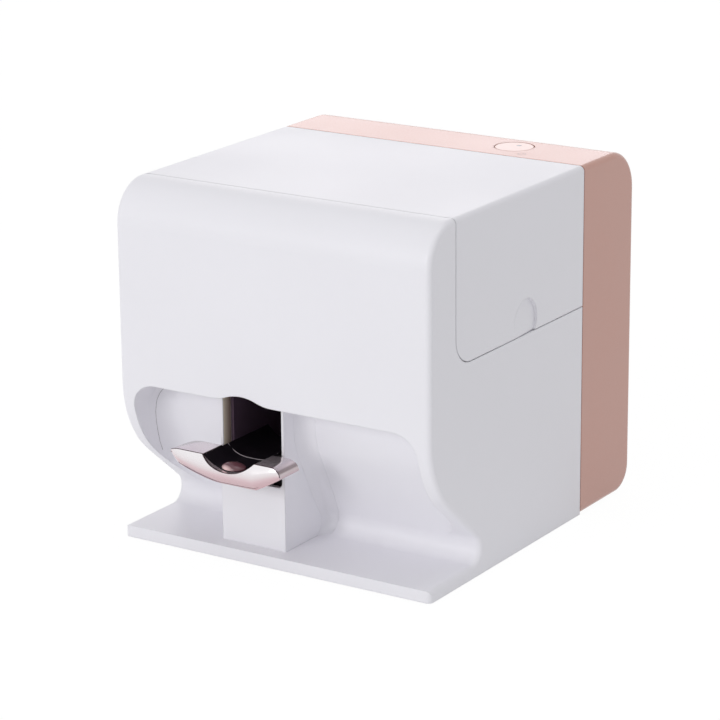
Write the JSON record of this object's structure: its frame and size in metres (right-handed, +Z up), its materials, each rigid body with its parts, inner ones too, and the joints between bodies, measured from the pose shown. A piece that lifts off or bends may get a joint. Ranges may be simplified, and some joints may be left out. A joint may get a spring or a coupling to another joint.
{
  "type": "digital nail art printer",
  "caption": "Table-top nail art printer with a finger port over a plated tray, a hinged cover, a round-backed rear shell and an inkjet carriage inside.",
  "frame": {"origin": "under the middle of the whole printer, on the surface it stands on", "axes": "+X to the right seen from the front, +Y to the back, +Z up"},
  "size_m": [0.1902, 0.226, 0.1945],
  "materials": {
    "shell_white": "fine satin moulded surface",
    "shell_pink": "satin dusty pink",
    "button_pink": "satin",
    "lens_dark": "polished",
    "plated_rose": "rose-gold plating, polished",
    "trough_black": "high gloss",
    "pad_pink": "soft silicone",
    "liner_dark": "fine matt",
    "frame_black": "matt",
    "base_grey": "fine grain",
    "rubber_dark": "matt",
    "steel": "ground",
    "sheet_steel": "zinc-plated sheet",
    "bronze": "sintered bronze",
    "motor_can": "satin black",
    "alloy": "turned",
    "belt": "toothed belt rubber",
    "cartridge": "fine grain",
    "board_green": "solder resist",
    "magnet_nickel": "nickel plated",
    "optic": "coated lens",
    "seal_rubber": "soft"
  },
  "bodies": {
    "base": {"main_housing": "shell_white", "finger_column": "shell_white", "rear_shell": "shell_pink", "bottom_cover": "base_grey", "base_screws": "steel", "rubber_feet": "rubber_dark", "switch_board": "board_green", "dc_inlet": "frame_black", "hinge_pins": "steel", "catch_plates": "sheet_steel", "tunnel_liner": "liner_dark", "tray_guide_posts": "steel", "chassis": "sheet_steel", "chassis_screws": "steel", "y_guide_rod_left": "steel", "y_guide_rod_right": "steel", "screw_bearing": "frame_black", "y_motor": "motor_can", "cap_station": "frame_black", "cap_seal": "seal_rubber", "wiper_blade": "seal_rubber", "camera_bracket": "sheet_steel", "camera_module": "frame_black", "camera_lens": "optic", "main_board": "board_green", "board_screws": "steel"},
    "cover": {"top_cover": "shell_white", "cover_magnets": "magnet_nickel"},
    "button": {"power_button": "button_pink", "status_lens": "lens_dark"},
    "tray": {"tray_fascia": "plated_rose", "finger_trough": "trough_black", "finger_pad": "pad_pink", "tray_carrier": "frame_black", "tray_spring_left": "steel", "tray_spring_right": "steel"},
    "y_stage": {"stage_frame": "sheet_steel", "stage_bushings": "bronze", "x_guide_rod_lower": "steel", "x_guide_rod_upper": "steel", "x_motor": "motor_can", "idler_pin": "steel", "x_belt": "belt", "y_lead_nut": "bronze"},
    "drive_pulley": {"x_drive_pulley": "alloy"},
    "idler_pulley": {"x_idler_pulley": "alloy"},
    "carriage": {"carriage": "frame_black", "carriage_bushings": "bronze"},
    "cartridge": {"ink_cartridge": "cartridge", "nozzle_plate": "sheet_steel"},
    "lead_screw": {"y_lead_screw": "steel"}
  },
  "joints": [
    {"name": "cover_hinge", "type": "hinge", "parent": "base", "child": "cover", "pos_m": [-0.0921, 0, 0.1915], "axis": [0, -1, 0], "range_deg": [0, 105]},
    {"name": "button_press", "type": "slide", "parent": "base", "child": "button", "axis": [0, 0, -1], "range_m": [0, 0.0012], "stiffness_N_per_m": 400, "springref_m": -0.001},
    {"name": "tray_press", "type": "slide", "parent": "base", "child": "tray", "axis": [0, 0, -1], "range_m": [0, 0.008], "stiffness_N_per_m": 300, "springref_m": -0.004, "deforming": ["tray_spring_left", "tray_spring_right"]},
    {"name": "stage_slide", "type": "slide", "parent": "base", "child": "y_stage", "axis": [0, -1, 0], "range_m": [0, 0.02]},
    {"name": "carriage_slide", "type": "slide", "parent": "y_stage", "child": "carriage", "axis": [-1, 0, 0], "range_m": [0, 0.076]},
    {"name": "cartridge_lift", "type": "slide", "parent": "carriage", "child": "cartridge", "axis": [0, 0, 1], "range_m": [0, 0.025]},
    {"name": "drive_spin", "type": "hinge", "parent": "y_stage", "child": "drive_pulley", "pos_m": [-0.063, 0.02925, 0.112], "axis": [0, 1, 0], "range_deg": [-5, 550]},
    {"name": "idler_spin", "type": "hinge", "parent": "y_stage", "child": "idler_pulley", "pos_m": [0.063, 0.02925, 0.112], "axis": [0, 1, 0], "range_deg": [-5, 550]},
    {"name": "screw_spin", "type": "hinge", "parent": "base", "child": "lead_screw", "pos_m": [-0.07, 0.00225, 0.092], "axis": [0, 1, 0], "range_deg": [-5, 910]}
  ],
  "couplings": [
    {"joint": "drive_spin", "follows": "carriage_slide", "rad_per_m": 125},
    {"joint": "idler_spin", "follows": "carriage_slide", "rad_per_m": 125},
    {"joint": "screw_spin", "follows": "stage_slide", "rad_per_m": 785.4}
  ]
}
